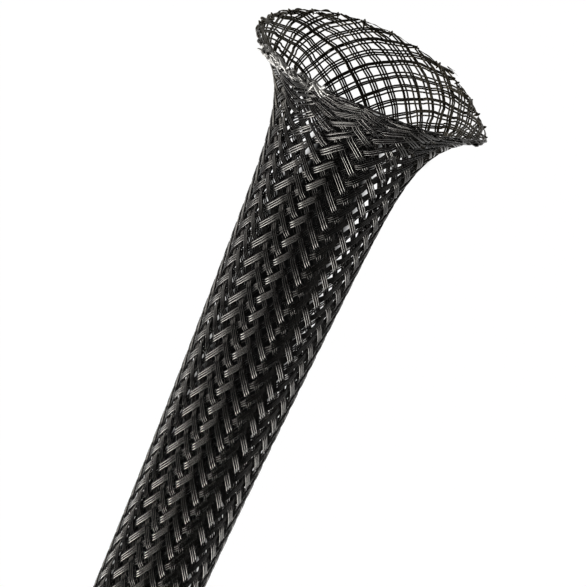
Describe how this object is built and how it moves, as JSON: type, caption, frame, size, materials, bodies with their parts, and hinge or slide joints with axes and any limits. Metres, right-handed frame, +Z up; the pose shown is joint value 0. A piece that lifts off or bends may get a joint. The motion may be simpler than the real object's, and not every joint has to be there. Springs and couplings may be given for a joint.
{
  "type": "braided cable sleeve",
  "caption": "Expandable braided sleeve for bundling cables: an open tube of woven black monofilament, plain along most of its length and flared into a wide mouth at one end.",
  "frame": {"origin": "centre of the bounding box's bottom face, on the surface that the sleeve lies on", "axes": "+X along the sleeve from its plain cut end to its flared mouth, +Z up"},
  "size_m": [0.3066, 0.032, 0.0318],
  "materials": {
    "filament": "smooth semi-gloss black polyester monofilament"
  },
  "bodies": {
    "root": {"braided_sleeve": "filament"}
  },
  "joints": []
}
